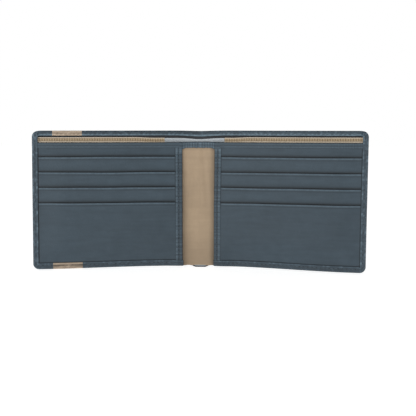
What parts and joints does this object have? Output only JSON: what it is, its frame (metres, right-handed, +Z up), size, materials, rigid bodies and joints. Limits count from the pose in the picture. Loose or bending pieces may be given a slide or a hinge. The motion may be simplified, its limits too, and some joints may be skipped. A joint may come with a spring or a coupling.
{
  "type": "folding wallet",
  "caption": "Leather billfold wallet standing open on its lower edge, with stepped card slots on both halves, a divided note compartment and a tan stripe.",
  "frame": {"origin": "middle of the wallet's box, on the surface it stands on", "axes": "+X along the open wallet, towards the right half as seen from inside; +Y out of its back; +Z up"},
  "size_m": [0.2276, 0.0244, 0.095],
  "materials": {
    "navy_leather": "fine-grained, soft satin",
    "tan_leather": "fine-grained, soft satin",
    "tan_lining": "smooth, soft satin",
    "tan_ribbon": "ribbed, matte",
    "nylon": "fine weave, slight sheen",
    "thread": "twisted, slight sheen"
  },
  "bodies": {
    "spine": {"shell_spine": "navy_leather", "lining_spine": "nylon", "divider_spine": "nylon", "inner_wall_spine": "tan_lining", "top_binding_spine": "navy_leather", "hem_thread_spine": "thread", "top_binding_thread_spine": "thread"},
    "left_half": {"shell_left": "navy_leather", "shell_stripe": "tan_leather", "shell_end": "navy_leather", "lining_left": "nylon", "divider_left": "nylon", "divider_trim_left": "tan_ribbon", "inner_wall_left": "tan_lining", "card_base_left": "navy_leather", "top_binding_left": "navy_leather", "edge_binding_left": "navy_leather", "card_slot_1_left": "navy_leather", "card_slot_2_left": "navy_leather", "card_slot_3_left": "navy_leather", "front_pocket_left": "navy_leather", "slot_lining_1_left": "nylon", "slot_lining_2_left": "nylon", "slot_lining_3_left": "nylon", "slot_lining_4_left": "nylon", "border_thread_left": "thread", "hem_thread_left": "thread", "top_binding_thread_left": "thread", "edge_thread_left": "thread"},
    "right_half": {"shell_right": "navy_leather", "lining_right": "nylon", "divider_right": "nylon", "divider_trim_right": "tan_ribbon", "inner_wall_right": "tan_lining", "card_base_right": "navy_leather", "top_binding_right": "navy_leather", "edge_binding_right": "navy_leather", "card_slot_1_right": "navy_leather", "card_slot_2_right": "navy_leather", "card_slot_3_right": "navy_leather", "front_pocket_right": "navy_leather", "slot_lining_1_right": "nylon", "slot_lining_2_right": "nylon", "slot_lining_3_right": "nylon", "slot_lining_4_right": "nylon", "border_thread_right": "thread", "hem_thread_right": "thread", "top_binding_thread_right": "thread", "edge_thread_right": "thread"}
  },
  "joints": [
    {"name": "fold_left", "type": "hinge", "parent": "spine", "child": "left_half", "pos_m": [-0.0078, 0.01169, 0], "axis": [0, 0, 1], "range_deg": [-9, 81], "deforming": ["shell_spine", "lining_spine", "divider_spine", "inner_wall_spine", "top_binding_spine", "hem_thread_spine", "top_binding_thread_spine"]},
    {"name": "fold_right", "type": "hinge", "parent": "spine", "child": "right_half", "pos_m": [0.0078, 0.01169, 0], "axis": [0, 0, -1], "range_deg": [-9, 81]}
  ],
  "couplings": [
    {"joint": "fold_right", "follows": "fold_left", "ratio": 1}
  ]
}
